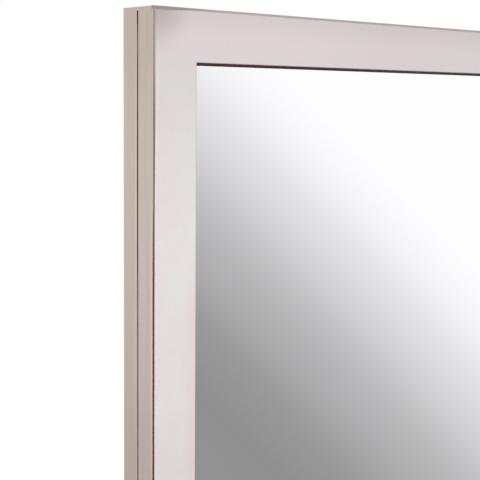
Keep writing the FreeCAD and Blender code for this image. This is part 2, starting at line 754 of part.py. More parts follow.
doc.recompute()
for thing in doc.Objects:
    if "Invalid" in thing.State or "Error" in thing.State:
        raise RuntimeError(f"{thing.Label} failed: {thing.State}")
for piece in parts:
    if piece.Shape.isNull() or not piece.Shape.isValid():
        raise RuntimeError(f"{piece.Label} has no valid shape")

os.makedirs("parts", exist_ok=True)
for piece in parts:
    piece.Shape.exportStep(f"parts/{piece.Label}.step")
print(len(parts), "parts written")
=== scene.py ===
import math

import bpy
from mathutils import Matrix, Vector


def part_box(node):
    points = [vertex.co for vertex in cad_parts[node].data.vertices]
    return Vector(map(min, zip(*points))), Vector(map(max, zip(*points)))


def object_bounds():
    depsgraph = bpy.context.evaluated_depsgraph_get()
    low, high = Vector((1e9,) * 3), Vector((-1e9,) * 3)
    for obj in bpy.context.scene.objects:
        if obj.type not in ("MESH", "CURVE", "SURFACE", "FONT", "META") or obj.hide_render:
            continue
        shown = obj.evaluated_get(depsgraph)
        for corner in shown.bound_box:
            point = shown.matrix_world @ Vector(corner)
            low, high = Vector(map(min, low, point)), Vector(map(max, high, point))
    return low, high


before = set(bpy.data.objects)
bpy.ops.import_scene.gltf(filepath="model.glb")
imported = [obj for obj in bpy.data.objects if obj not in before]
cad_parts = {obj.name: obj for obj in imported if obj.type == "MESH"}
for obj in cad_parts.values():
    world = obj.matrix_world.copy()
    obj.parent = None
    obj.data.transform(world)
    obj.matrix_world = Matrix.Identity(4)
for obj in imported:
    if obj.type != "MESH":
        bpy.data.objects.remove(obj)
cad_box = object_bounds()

# Window mirror: looks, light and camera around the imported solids.
# The scene is in metres. Lengths in the materials are millimetres in the part's own frame.

MM = 1000.0
HALF_WIDTH = cad_box[1].x * MM
HALF_HEIGHT = cad_box[1].z * MM
FRONT = cad_box[0].y * MM
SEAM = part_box("rear_left_stile")[0].y * MM
FACE_WIDTH = (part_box("front_left_stile")[1].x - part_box("front_left_stile")[0].x) * MM
BAR_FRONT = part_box("vertical_bar")[0].y * MM
BAR_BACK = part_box("vertical_bar")[1].y * MM
BAR_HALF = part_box("vertical_bar")[1].x * MM
GROOVE_WIDTH = 1.7
GROOVE_DEPTH = 2.0

NOISE_MIDDLE = 0.5


def colour(value):
    """A tuple of three gets the fourth value that a colour socket takes; anything else stays as it is."""
    if isinstance(value, tuple) and len(value) == 3:
        return (*value, 1.0)
    return value


def grey(tone):
    return colour((tone, tone, tone))


class Graph:
    """Builds a node tree; each call returns the socket that carries its result."""

    def __init__(self, tree):
        self.tree = tree
        tree.nodes.clear()

    def node(self, kind, **settings):
        made = self.tree.nodes.new(kind)
        for name, value in settings.items():
            setattr(made, name, value)
        return made

    def feed(self, socket, value):
        """Links a socket to another one, or sets it to a number or colour."""
        if isinstance(value, bpy.types.NodeSocket):
            self.tree.links.new(value, socket)
        else:
            socket.default_value = value

    def math(self, operation, *values, clamp=False):
        made = self.node("ShaderNodeMath", operation=operation, use_clamp=clamp)
        for socket, value in zip(made.inputs, values):
            self.feed(socket, value)
        return made.outputs[0]

    def add(self, a, b):
        return self.math("ADD", a, b)

    def sub(self, a, b):
        return self.math("SUBTRACT", a, b)

    def mul(self, a, b):
        return self.math("MULTIPLY", a, b)

    def low(self, a, b):
        return self.math("MINIMUM", a, b)

    def high(self, a, b):
        return self.math("MAXIMUM", a, b)

    def absolute(self, a):
        return self.math("ABSOLUTE", a)

    def diagonal(self, a, b):
        return self.math("SQRT", self.add(self.mul(a, a), self.mul(b, b)))

    def step(self, value, start, end, low=0.0, high=1.0):
        """A smooth change from low at start to high at end."""
        made = self.node("ShaderNodeMapRange", interpolation_type="SMOOTHSTEP")
        for socket, number in zip(made.inputs, (value, start, end, low, high)):
            self.feed(socket, number)
        return made.outputs[0]

    def rise(self, value, span):
        """0 up to the span's start and 1 from its end."""
        return self.step(value, *span)

    def fall(self, value, span):
        """1 up to the span's start and 0 from its end."""
        return self.step(value, *span, 1.0, 0.0)

    def band(self, value, rise, fall):
        """1 between two spans, where the value rises over the first and falls over the second."""
        return self.mul(self.rise(value, rise), self.fall(value, fall))

    def pick(self, factor, first, second):
        """A number between first and second."""
        made = self.node("ShaderNodeMix", data_type="FLOAT")
        self.feed(made.inputs["Factor"], factor)
        self.feed(made.inputs["A"], first)
        self.feed(made.inputs["B"], second)
        return made.outputs["Result"]

    def sway(self, noise, amount):
        """A noise that swings about 0 instead of its middle."""
        return self.mul(self.sub(noise, NOISE_MIDDLE), amount)

    def split(self, vector):
        made = self.node("ShaderNodeSeparateXYZ")
        self.feed(made.inputs[0], vector)
        return made.outputs[:]

    def join(self, x, y, z):
        made = self.node("ShaderNodeCombineXYZ")
        for socket, value in zip(made.inputs, (x, y, z)):
            self.feed(socket, value)
        return made.outputs[0]

    def coordinates(self, kind):
        return self.node("ShaderNodeTexCoord").outputs[kind]

    def place(self):
        """The point on the part, in millimetres."""
        return self.stretch(self.coordinates("Object"), MM, MM, MM)

    def stretch(self, vector, x, y, z):
        made = self.node("ShaderNodeVectorMath", operation="MULTIPLY")
        self.feed(made.inputs[0], vector)
        made.inputs[1].default_value = (x, y, z)
        return made.outputs[0]

    def noise(self, vector, scale, detail, roughness=0.5, distortion=0.0):
        """A cloudy value from about 0.2 to 0.8; scale is in clouds per millimetre."""
        made = self.node("ShaderNodeTexNoise")
        self.feed(made.inputs["Vector"], vector)
        made.inputs["Scale"].default_value = scale
        made.inputs["Detail"].default_value = detail
        made.inputs["Roughness"].default_value = roughness
        made.inputs["Distortion"].default_value = distortion
        return made.outputs[0]

    def blend(self, factor, first, second, mode="MIX"):
        """A colour between first and second."""
        made = self.node("ShaderNodeMix", data_type="RGBA", blend_type=mode)
        self.feed(made.inputs["Factor"], factor)
        self.feed(made.inputs["A"], colour(first))
        self.feed(made.inputs["B"], colour(second))
        return made.outputs["Result"]

    def tint(self, factor, first, second):
        """First, multiplied by second where the factor is 1."""
        return self.blend(factor, first, second, mode="MULTIPLY")

    def shade(self, base, factor, low, high):
        """A colour made darker or lighter by an amount that runs from low to high with the factor."""
        amount = self.pick(factor, low, high)
        return self.tint(1.0, base, self.join(amount, amount, amount))

    def fade(self, base, value, start, end, low, high):
        """A colour shaded by low up to the value's start and by high from its end."""
        return self.shade(base, self.step(value, start, end), low, high)

    def bump(self, height, depth, strength):
        """Depth in millimetres for a height from 0 to 1."""
        made = self.node("ShaderNodeBump")
        self.feed(made.inputs["Height"], height)
        made.inputs["Distance"].default_value = depth / MM
        made.inputs["Strength"].default_value = strength
        return made.outputs[0]

    def surface(self, **inputs):
        made = self.node("ShaderNodeBsdfPrincipled")
        for name, value in inputs.items():
            self.feed(made.inputs[name.replace("_", " ")], value)
        self.output(made)

    def output(self, shader, kind="ShaderNodeOutputMaterial"):
        self.feed(self.node(kind).inputs["Surface"], shader.outputs[0])


def new_material(name):
    made = bpy.data.materials.new(name)
    made.use_nodes = True
    return made, Graph(made.node_tree)


# Silver leaf: colours, and tints that multiply them

LEAF = (0.765, 0.732, 0.732)
LEAF_ROSE = (0.765, 0.698, 0.706)
# The leaf on the outer sides: warmer with glaze, and darker than the face as painted shade.
LEAF_SIDE = (0.515, 0.440, 0.388)
LEAF_SIDE_ROSE = (0.535, 0.455, 0.425)
BOLE = (0.095, 0.035, 0.033)
BOLE_THIN = (0.420, 0.210, 0.195)
UMBER = (0.170, 0.122, 0.114)
GLAZE = (0.255, 0.205, 0.172)
GLAZE_PALE = (0.320, 0.280, 0.262)
# Dark red-brown reveal paint, taken near black as painted shade.
REVEAL_PAINT_AND_SHADE = (0.046, 0.0145, 0.010)
GROOVE_PAINT = (0.230, 0.150, 0.118)
STAIN = (0.115, 0.058, 0.036)
# A tint above one that lightens the leaf as a painted highlight.
HIGHLIGHT_TINT = (1.30, 1.20, 1.16)
CORNER_TINT = (0.77, 0.735, 0.735)
BLUSH_TINT = (0.980, 0.945, 0.935)

# Silver leaf: patterns, each with its clouds per millimetre, detail and roughness

CLOUDS = (0.020, 4.0, 0.6)
SPECKLE = (0.45, 2.0, 0.7)
PATCHES = (0.035, 3.0, 0.65)
CRUMBS = (0.8, 2.0, 0.6)
WAVES = (0.12, 5.0, 0.6)

# How far a surface has to turn towards a direction to count as facing it.
FACING = (0.55, 0.85)


class LeafSpot:
    """A point on a leafed member: its place, its facing and the leaf's patterns there."""

    def __init__(self, g):
        self.place = g.place()
        self.x, self.y, self.z = g.split(self.place)
        self.nx, self.ny, self.nz = g.split(g.coordinates("Normal"))
        self.sideways = g.rise(g.high(g.absolute(self.nx), g.absolute(self.nz)), FACING)
        self.clouds = g.noise(self.place, *CLOUDS)
        self.speckle = g.noise(self.place, *SPECKLE)
        self.patches = g.noise(self.place, *PATCHES)
        self.crumbs = g.noise(self.place, *CRUMBS)


class FrameSpot(LeafSpot):
    """A point on the frame, with its distances from the sides, ends, face, sight edge and corners."""

    def __init__(self, g):
        super().__init__(g)
        self.side_gap = g.sub(HALF_WIDTH, g.absolute(self.x))
        self.end_gap = g.sub(HALF_HEIGHT, g.absolute(self.z))
        self.front_gap = g.sub(self.y, FRONT)
        self.outer_gap = g.low(self.side_gap, self.end_gap)
        self.inner_gap = g.sub(FACE_WIDTH, self.outer_gap)
        self.corner_gap = g.diagonal(self.side_gap, self.end_gap)


def drawn_out(g, across, along, size, pattern):
    """A noise along a member; size is its clouds per millimetre across and along."""
    place = g.join(g.mul(across, size[0]), g.mul(along, size[1]), 0.0)
    return g.noise(place, 1.0, *pattern)


# The polish and relief of the leaf, and of what shows where it is bare.
LEAF_METAL = 0.45
LEAF_ROUGHNESS = 0.40
BARE_ROUGHNESS = 0.62
SPECKLE_ROUGHNESS = 0.16
WAVE_SHARE = 0.7
LEAF_RELIEF = (0.05, 0.35)


def leaf_surface(g, at, tone, bare, **more):
    metal = g.pick(bare, LEAF_METAL, 0.0)
    roughness = g.add(g.pick(bare, LEAF_ROUGHNESS, BARE_ROUGHNESS), g.sway(at.speckle, SPECKLE_ROUGHNESS))
    relief = g.pick(WAVE_SHARE, at.speckle, g.noise(at.place, *WAVES))
    normal = g.bump(relief, *LEAF_RELIEF)
    g.surface(Base_Color=tone, Metallic=metal, Roughness=roughness, Normal=normal, **more)


# Spans are in millimetres from an end, side, arris or corner, or in a pattern's own values.
# A fade is a span with the shade at its start and at its end.

ROSE_CLOUDS = (0.35, 0.65)
ROSE_END = (25.0, 70.0)
FACE_SPECKLE = (0.96, 1.04)
CORNER_REACH = (6.0, 39.0)
# Painted shade along the members: the rails and the stiles' ends darker, the stiles' middles a little
# darker, and the rails darker towards their middles.
FACE_END_SHADES = [
    (0.0, 24.0, 0.90, 1.0),
    (40.0, 75.0, 0.98, 1.0),
    (32.0, 200.0, 0.855, 1.0),
    (290.0, 350.0, 1.0, 0.955),
]
FACE_SIDE_SHADE = (120.0, 270.0, 1.0, 0.945)
BLUSH_WIDTH = (2.0, 16.0)
BLUSH_START = (170.0, 260.0)


def face_tone(g, at):
    """The face: rosy clouds and fine speckle, darker and redder near the outer corners, and painted shade
    along each member.
    """
    rose = g.high(g.rise(at.clouds, ROSE_CLOUDS), g.fall(at.end_gap, ROSE_END))
    tone = g.blend(rose, LEAF, LEAF_ROSE)
    tone = g.shade(tone, at.speckle, *FACE_SPECKLE)
    # Darker and redder near the outer corners.
    tone = g.tint(g.fall(at.corner_gap, CORNER_REACH), tone, CORNER_TINT)
    # Painted shade: the rails and the stiles' ends darker, most near the outer edge, and the stiles a
    # little darker over their middles.
    for fade in FACE_END_SHADES:
        tone = g.fade(tone, at.end_gap, *fade)
    # Painted shade: the rails darker towards their middles.
    tone = g.fade(tone, at.side_gap, *FACE_SIDE_SHADE)
    blush = g.mul(g.fall(at.inner_gap, BLUSH_WIDTH), g.rise(at.end_gap, BLUSH_START))
    return g.tint(blush, tone, BLUSH_TINT)


END_FACING = (0.5, 0.8)
STREAK_SIZE = (0.42, 0.006)
STREAKS = (4.0, 0.6)
STREAK_SPREAD = (0.25, 0.75)
EDGE_STREAKS = (0.92, 1.06)
EDGE_SPECKLE = (0.97, 1.03)
EDGE_ROSE_START = (80.0, 220.0)
LAYER_CHANGE = 1.0
EDGE_CORNER_FADES = [(10.0, 190.0, 0.92, 1.0), (25.0, 75.0, 0.94, 1.0)]
EDGE_END_SHADE = (265.0, 335.0, 1.0, 0.93)


def edge_tone(g, at):
    """The outer edges: a warmer glaze and painted shade that keep them darker than the face, drawn out
    along each member, and rosier on the front layer.
    """
    along = g.pick(g.rise(g.absolute(at.nz), END_FACING), at.z, at.x)
    streaks = drawn_out(g, at.y, along, STREAK_SIZE, STREAKS)
    front_layer = g.fall(at.y, (SEAM - LAYER_CHANGE, SEAM))
    tone = g.blend(g.mul(front_layer, g.rise(at.end_gap, EDGE_ROSE_START)), LEAF_SIDE, LEAF_SIDE_ROSE)
    tone = g.shade(tone, g.rise(streaks, STREAK_SPREAD), *EDGE_STREAKS)
    tone = g.shade(tone, at.speckle, *EDGE_SPECKLE)
    # Darker near the corners.
    for fade in EDGE_CORNER_FADES:
        tone = g.fade(tone, at.corner_gap, *fade)
    # Painted shade: darker from about 300 mm in from each end.
    return g.fade(tone, at.end_gap, *EDGE_END_SHADE)


# A painted highlight beside the side arrises and on both sides of the groove: where it lies and how strong
# it is along each member.
ARRIS_HIGHLIGHT = ((1.2, 1.6), (2.2, 3.6))
FACE_HIGHLIGHT = (35.0, 60.0, 0.0, 0.35)
EDGE_HIGHLIGHT = (90.0, 230.0, 0.35, 1.0)
GROOVE_HIGHLIGHT = ((0.0, 0.2), (0.9, 1.8))
GROOVE_HIGHLIGHT_START = (30.0, 130.0)
GROOVE_HIGHLIGHT_PATCHES = (0.3, 0.5, 0.2, 0.6)
REAR_HIGHLIGHT_GAP = 0.9


def painted_highlight(g, at, side_arris):
    """How much painted highlight lightens the leaf beside the side arrises and on both sides of the
    groove.
    """
    strength = g.pick(at.sideways, g.step(at.end_gap, *FACE_HIGHLIGHT), g.step(at.end_gap, *EDGE_HIGHLIGHT))
    beside_arris = g.mul(g.band(side_arris, *ARRIS_HIGHLIGHT), strength)
    groove_gap = g.high(g.sub(SEAM, at.y), g.sub(at.y, SEAM + GROOVE_WIDTH + REAR_HIGHLIGHT_GAP))
    beside_groove = g.mul(g.band(groove_gap, *GROOVE_HIGHLIGHT), g.rise(at.end_gap, GROOVE_HIGHLIGHT_START))
    beside_groove = g.mul(beside_groove, g.step(at.patches, *GROOVE_HIGHLIGHT_PATCHES))
    return g.high(beside_arris, beside_groove)


CRUMB_SWAY = 0.8
RUB_EDGE = 0.35


def rubbed(g, at, arris_gap, width):
    """The rub's reach from an arris, which is about a width with a crumbled edge, and where the rub is."""
    reach = g.add(width, g.sway(at.crumbs, CRUMB_SWAY))
    return reach, g.fall(arris_gap, (reach, g.add(reach, RUB_EDGE)))


# How the glazed line along an arris changes its width: a larger factor makes it narrower.
FACE_LINE = (80.0, 220.0, 0.95, 2.0)
EDGE_LINE = (80.0, 220.0, 1.0, 0.75)
RAIL_LINE = (12.0, 35.0, 0.42, 0.6)
FRAME_RUB = 1.0
WEAR_START = (90.0, 230.0)
WEAR_PATCHES = (0.25, 0.6, 0.6, 1.0)
WORN = (0.2, 0.75)
PALE_GLAZE_START = (25.0, 60.0)
UMBER_START = (30.0, 85.0)
THIN_EDGE = (0.2, 0.8)
THIN_STRENGTH = 0.8


def rubbed_arrises(g, at, tone):
    """Arrises: glazed at the ends, darker further in, then rubbed through to the red-brown ground."""
    on_face = g.mul(at.side_gap, g.step(at.end_gap, *FACE_LINE))
    on_edge = g.mul(at.front_gap, g.step(at.end_gap, *EDGE_LINE))
    side_arris = g.high(on_face, on_edge)
    end_arris = g.mul(g.high(at.end_gap, at.front_gap), g.step(at.side_gap, *RAIL_LINE))
    arris_gap = g.low(side_arris, end_arris)
    reach, rub = rubbed(g, at, arris_gap, FRAME_RUB)

    wear = g.mul(g.rise(at.end_gap, WEAR_START), g.step(at.patches, *WEAR_PATCHES))
    worn = g.rise(wear, WORN)
    ground = g.blend(g.rise(at.side_gap, PALE_GLAZE_START), GLAZE, GLAZE_PALE)
    ground = g.blend(g.rise(at.end_gap, UMBER_START), ground, UMBER)
    ground = g.blend(worn, ground, BOLE)
    thin_span = [g.add(reach, distance) for distance in THIN_EDGE]
    thin = g.mul(g.fall(arris_gap, thin_span), worn)

    # Painted highlight beside the side arrises and the groove.
    tone = g.tint(painted_highlight(g, at, side_arris), tone, HIGHLIGHT_TINT)
    tone = g.blend(g.mul(thin, THIN_STRENGTH), tone, BOLE_THIN)
    return g.blend(rub, tone, ground), rub


SIGHT_LINE = ((-0.3, 0.0), (0.5, 0.9))
SIGHT_STRENGTH = 0.5


def sight_line(g, at, tone):
    """A thin line along the sight edge, taken halfway to the glaze colour."""
    line = g.band(at.inner_gap, *SIGHT_LINE)
    return g.blend(g.mul(line, SIGHT_STRENGTH), tone, GLAZE)


FACING_IN = (-0.8, -0.6)
FRAME_END = (FACE_WIDTH + 0.5, FACE_WIDTH + 1.5)


def reveal_paint_and_shade(g, at, tone):
    """The dark paint on the frame's inner faces, taken near black as painted shade in the recess, and
    where it is.
    """
    facing_x = g.mul(at.nx, g.math("SIGN", at.x))
    facing_z = g.mul(at.nz, g.math("SIGN", at.z))
    reveal = g.mul(g.fall(g.low(facing_x, facing_z), FACING_IN), g.fall(at.outer_gap, FRAME_END))
    return g.blend(reveal, tone, REVEAL_PAINT_AND_SHADE), reveal


GROOVE_MIDDLE = SEAM + GROOVE_WIDTH / 2
GROOVE_REACH = (GROOVE_WIDTH / 2 + 0.02, GROOVE_WIDTH / 2 + 0.06)
GROOVE_MOUTH = (0.05, 0.15)
GROOVE_FLOOR = (GROOVE_DEPTH + 0.2, GROOVE_DEPTH + 0.6)
GROOVE_SPREAD = (0.3, 0.7)
GROOVE_PATCHES = (0.65, 1.5)
GROOVE_CORNER_SHADE = (10.0, 16.0, 0.3, 1.0)
DARK_STRETCH = ((45.0, 110.0), (180.0, 215.0))
DARK_SHADE = (1.0, 0.45)


def shadow_groove(g, at, tone):
    """The paint inside the groove between the two layers, deepened by painted shade near the corners and
    along a stretch of each member, and where it is.
    """
    near_groove = g.fall(g.absolute(g.sub(at.y, GROOVE_MIDDLE)), GROOVE_REACH)
    groove = g.mul(near_groove, g.band(at.outer_gap, GROOVE_MOUTH, GROOVE_FLOOR))
    paint_and_shade = g.shade(GROOVE_PAINT, g.rise(at.patches, GROOVE_SPREAD), *GROOVE_PATCHES)
    # Painted shade: near black close to the corners, and darker along a stretch of each member.
    paint_and_shade = g.fade(paint_and_shade, at.corner_gap, *GROOVE_CORNER_SHADE)
    paint_and_shade = g.shade(paint_and_shade, g.band(at.end_gap, *DARK_STRETCH), *DARK_SHADE)
    return g.blend(groove, tone, paint_and_shade), groove


MITRE_CHANGE = (-0.2, 0.2)
MITRE_LINE_FADE = (0.25, 0.7, 0.35, 1.0)
BACK_GRAIN_SIZE = (0.35, 0.012)
BACK_GRAIN = (5.0, 0.65, 0.4)
BACK_GRAIN_SPREAD = (0.3, 0.7)
BACK_GRAIN_SHADE = (0.6, 1.35)


def stained_back(g, at, tone):
    """The stained wood behind, with its grain along each member and dark mitre lines, and where it is."""
    mitre_gap = g.sub(at.side_gap, at.end_gap)
    on_rail = g.rise(mitre_gap, MITRE_CHANGE)
    across = g.pick(on_rail, at.x, at.z)
    along = g.pick(on_rail, at.z, at.x)
    grain = drawn_out(g, across, along, BACK_GRAIN_SIZE, BACK_GRAIN)
    wood = g.shade(STAIN, g.rise(grain, BACK_GRAIN_SPREAD), *BACK_GRAIN_SHADE)
    wood = g.fade(wood, g.absolute(mitre_gap), *MITRE_LINE_FADE)
    back = g.rise(at.ny, FACING)
    return g.blend(back, tone, wood), back


LEAF_SHINE = 0.5
PAINT_SHINE = 0.05


def leaf_material():
    """Champagne silver leaf over a red-brown ground that shows where the arrises are rubbed."""
    made, g = new_material("silver_leaf")
    at = FrameSpot(g)
    tone = g.blend(at.sideways, face_tone(g, at), edge_tone(g, at))
    tone, rub = rubbed_arrises(g, at, tone)
    tone = sight_line(g, at, tone)
    tone, reveal = reveal_paint_and_shade(g, at, tone)
    tone, groove = shadow_groove(g, at, tone)
    tone, back = stained_back(g, at, tone)
    bare = g.high(g.high(rub, reveal), g.high(groove, back))
    shine = g.pick(g.high(reveal, rub), LEAF_SHINE, PAINT_SHINE)
    leaf_surface(g, at, tone, bare, Specular_IOR_Level=shine)
    return made


BAR_STREAKS = (0.90, 1.06)
BAR_END_FADE = (0.0, 26.0, 0.78, 1.0)
CROSSING_FADE = (0.0, 16.0, 0.90, 1.0)
BAR_RUB = 0.5
# A painted highlight beside the bar's arrises: where it lies and how strong it is.
BAR_HIGHLIGHT = ((0.8, 1.2), (1.8, 3.0))
BAR_HIGHLIGHT_STRENGTH = 0.35
BAR_GROUND = (0.40, 0.60)
# A painted shadow along the bar's back edge beside the glass: how far it reaches and how dark it is.
GLASS_SHADOW_REACH = (0.6, 2.4)
GLASS_SHADOW_STRENGTH = 0.6


def bar_leaf_material(name, lengthways):
    """The same leaf on a glazing bar along x or z, darker near its ends and beside the crossing, with a
    painted shadow along the glass.
    """
    made, g = new_material(name)
    at = LeafSpot(g)
    if lengthways == "x":
        across, along, half_length = at.z, at.x, HALF_WIDTH - FACE_WIDTH
    else:
        across, along, half_length = at.x, at.z, HALF_HEIGHT - FACE_WIDTH
    end_gap = g.sub(half_length, g.absolute(along))
    crossing_gap = g.sub(g.absolute(along), BAR_HALF)
    arris_gap = g.high(g.sub(BAR_HALF, g.absolute(across)), g.sub(at.y, BAR_FRONT))

    tone = g.blend(g.rise(at.clouds, ROSE_CLOUDS), LEAF, LEAF_ROSE)
    tone = g.shade(tone, at.speckle, *FACE_SPECKLE)
    streaks = drawn_out(g, at.y, along, STREAK_SIZE, STREAKS)
    # The sides take the side leaf: warmer with glaze, and darker as painted shade.
    side_tone = g.shade(LEAF_SIDE, g.rise(streaks, STREAK_SPREAD), *BAR_STREAKS)
    tone = g.blend(at.sideways, tone, side_tone)
    # Darker near the frame and beside the crossing.
    tone = g.fade(tone, end_gap, *BAR_END_FADE)
    tone = g.fade(tone, crossing_gap, *CROSSING_FADE)

    # Painted highlight beside the arrises.
    highlight_share = g.mul(g.band(arris_gap, *BAR_HIGHLIGHT), BAR_HIGHLIGHT_STRENGTH)
    tone = g.tint(highlight_share, tone, HIGHLIGHT_TINT)
    _, rub = rubbed(g, at, arris_gap, BAR_RUB)
    tone = g.blend(rub, tone, g.blend(g.rise(at.patches, BAR_GROUND), UMBER, BOLE))
    # Painted shadow: a dark umber line along the bar's back edge beside the glass.
    glass_shadow = g.mul(g.fall(g.sub(BAR_BACK, at.y), GLASS_SHADOW_REACH), GLASS_SHADOW_STRENGTH)
    tone = g.blend(glass_shadow, tone, UMBER)
    leaf_surface(g, at, tone, g.high(rub, glass_shadow))
    return made


# The other materials. Patterns are clouds per millimetre, detail, roughness and distortion.
# A relief is its depth in millimetres and its strength.

GLASS_TINTS = ((0.975, 0.976, 1.0), (0.988, 0.988, 1.0))
GLASS_HAZE = (0.006, 3.0)
GLASS_DUST = (0.25, 5.0, 0.7)
GLASS_ROUGHNESS = (0.55, 0.8, 0.004, 0.012)


def mirror_material():
    """Silvered glass with a faint haze and dust."""
    made, g = new_material("silvered_glass")
    place = g.place()
    tone = g.blend(g.noise(place, *GLASS_HAZE), *GLASS_TINTS)
    roughness = g.step(g.noise(place, *GLASS_DUST), *GLASS_ROUGHNESS)
    g.surface(Base_Color=tone, Metallic=1.0, Roughness=roughness)
    return made


PINE_TONES = ((0.620, 0.430, 0.240), (0.470, 0.285, 0.135))
PINE_ALONG = 0.010
PINE_ACROSS = 0.5
PINE_RINGS = (0.55, 3.0, 0.5, 0.6)
PINE_RING_SPREAD = (0.35, 0.62)
PINE_FIBRE = (4.0, 3.0, 0.7)
PINE_FIBRE_SHADE = (0.86, 1.12)
PINE_RING_SHARE = 0.5
PINE_ROUGHNESS = (0.55, 0.75)
PINE_RELIEF = (0.15, 0.5)


def pine_material(name, lengthways):
    """Bare pine with its grain along x or z."""
    made, g = new_material(name)
    if lengthways == "x":
        grain_size = (PINE_ALONG, PINE_ACROSS, PINE_ACROSS)
    else:
        grain_size = (PINE_ACROSS, PINE_ACROSS, PINE_ALONG)
    grain_place = g.stretch(g.place(), *grain_size)
    rings = g.noise(grain_place, *PINE_RINGS)
    fibre = g.noise(grain_place, *PINE_FIBRE)
    tone = g.blend(g.rise(rings, PINE_RING_SPREAD), *PINE_TONES)
    tone = g.shade(tone, fibre, *PINE_FIBRE_SHADE)
    relief = g.bump(g.pick(PINE_RING_SHARE, fibre, rings), *PINE_RELIEF)
    g.surface(Base_Color=tone, Roughness=g.pick(fibre, *PINE_ROUGHNESS), Normal=relief)
    return made


BOARD_TONES = ((0.150, 0.078, 0.040), (0.285, 0.168, 0.092))
BOARD_FIBRE = (0.9, 5.0, 0.75)
BOARD_CLOUDS = (0.012, 3.0)
BOARD_MOTTLE = (0.055, 5.0, 0.7)
BOARD_SPREAD = (0.3, 0.7)
BOARD_CLOUD_SHADE = (0.90, 1.10)
BOARD_MOTTLE_SHADE = (0.93, 1.06)
SCUFF_SIZE = (0.004, 1.0, 0.11)
SCUFFS = (1.0, 4.0, 0.6)
SCUFF_FADE = (0.62, 0.74, 1.0, 1.16)
MESH_TURN = 2.1
MESH_SHADE = (0.86, 1.05)
MESH_SHARE = 0.6
BOARD_ROUGHNESS = (0.7, 0.9)
BOARD_RELIEF = (0.2, 0.6)


def mesh_wave(g, position):
    """A wave across the pressed mesh, which turns by so many radians per millimetre."""
    return g.absolute(g.math("SINE", g.mul(position, MESH_TURN)))


def hardboard_material():
    """Brown fibreboard with the fine mesh of its rough side."""
    made, g = new_material("hardboard")
    place = g.place()
    x, _, z = g.split(place)
    fibre = g.noise(place, *BOARD_FIBRE)
    clouds = g.noise(place, *BOARD_CLOUDS)
    mottle = g.noise(place, *BOARD_MOTTLE)
    scuffs = g.noise(g.stretch(place, *SCUFF_SIZE), *SCUFFS)
    mesh = g.mul(mesh_wave(g, x), mesh_wave(g, z))
    tone = g.blend(g.rise(fibre, BOARD_SPREAD), *BOARD_TONES)
    tone = g.shade(tone, g.rise(clouds, BOARD_SPREAD), *BOARD_CLOUD_SHADE)
    tone = g.shade(tone, g.rise(mottle, BOARD_SPREAD), *BOARD_MOTTLE_SHADE)
    tone = g.fade(tone, scuffs, *SCUFF_FADE)
    tone = g.shade(tone, mesh, *MESH_SHADE)
    relief = g.bump(g.pick(MESH_SHARE, fibre, mesh), *BOARD_RELIEF)
    g.surface(Base_Color=tone, Roughness=g.pick(fibre, *BOARD_ROUGHNESS), Normal=relief)
    return made


ZINC_TONES = ((0.560, 0.565, 0.560), (0.720, 0.720, 0.700))
ZINC_BLOTCH = (0.35, 3.0, 0.6)
ZINC_SPREAD = (0.3, 0.7)
ZINC_LINE_SIZE = (0.15, 4.0, 4.0)
ZINC_LINES = (1.2, 2.0)
ZINC_LINE_SHARE = 0.6
ZINC_ROUGHNESS = (0.24, 0.38)
ZINC_LINE_ROUGHNESS = 0.06
ZINC_RELIEF = (0.03, 0.4)


def zinc_material():
    """Zinc-plated steel: pale, faintly blotched, with fine drawing lines."""
    made, g = new_material("zinc_steel")
    place = g.place()
    blotch = g.noise(place, *ZINC_BLOTCH)
    lines = g.noise(g.stretch(place, *ZINC_LINE_SIZE), *ZINC_LINES)
    tone = g.blend(g.rise(blotch, ZINC_SPREAD), *ZINC_TONES)
    roughness = g.add(g.pick(blotch, *ZINC_ROUGHNESS), g.mul(lines, ZINC_LINE_ROUGHNESS))
    relief = g.bump(g.pick(ZINC_LINE_SHARE, blotch, lines), *ZINC_RELIEF)
    g.surface(Base_Color=tone, Metallic=1.0, Roughness=roughness, Normal=relief)
    return made


RUBBER_TONES = ((0.022, 0.022, 0.023), (0.060, 0.058, 0.055))
RUBBER_GRAIN = (1.6, 4.0, 0.7)
RUBBER_DUST = (0.15, 3.0)
RUBBER_DUST_SPREAD = (0.4, 0.75)
RUBBER_ROUGHNESS = (0.55, 0.8)
RUBBER_RELIEF = (0.08, 0.5)


def rubber_material():
    """Black rubber, dusty in places."""
    made, g = new_material("bumper_rubber")
    place = g.place()
    grain = g.noise(place, *RUBBER_GRAIN)
    dust = g.noise(place, *RUBBER_DUST)
    tone = g.blend(g.rise(dust, RUBBER_DUST_SPREAD), *RUBBER_TONES)
    roughness = g.pick(grain, *RUBBER_ROUGHNESS)
    g.surface(Base_Color=tone, Roughness=roughness, Normal=g.bump(grain, *RUBBER_RELIEF))
    return made


leaf = leaf_material()
bar_leaf_across = bar_leaf_material("bar_leaf_across", "x")
bar_leaf_upright = bar_leaf_material("bar_leaf_upright", "z")
glass = mirror_material()
board = hardboard_material()
zinc = zinc_material()
rubber = rubber_material()
pine_across = pine_material("pine_across", "x")
pine_upright = pine_material("pine_upright", "z")


def finish_of(name):
    """The material of a node."""
    if name.startswith(("front_", "rear_")):
        return leaf
    if name == "cross_bar":
        return bar_leaf_across
    if name == "vertical_bar":
        return bar_leaf_upright
    if name.startswith("mirror_pane"):
        return glass
    if name == "backing_board":
        return board
    if name in ("bead_top", "bead_bottom", "pane_spacer_left", "pane_spacer_right", "corner_keys"):
        return pine_across
    if name in ("bead_left", "bead_right", "pane_spacer_long"):
        return pine_upright
    if name == "wall_bumpers":
        return rubber
    return zinc


for node_name, node_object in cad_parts.items():
    node_object.data.materials.clear()
    node_object.data.materials.append(finish_of(node_name))


# Floor

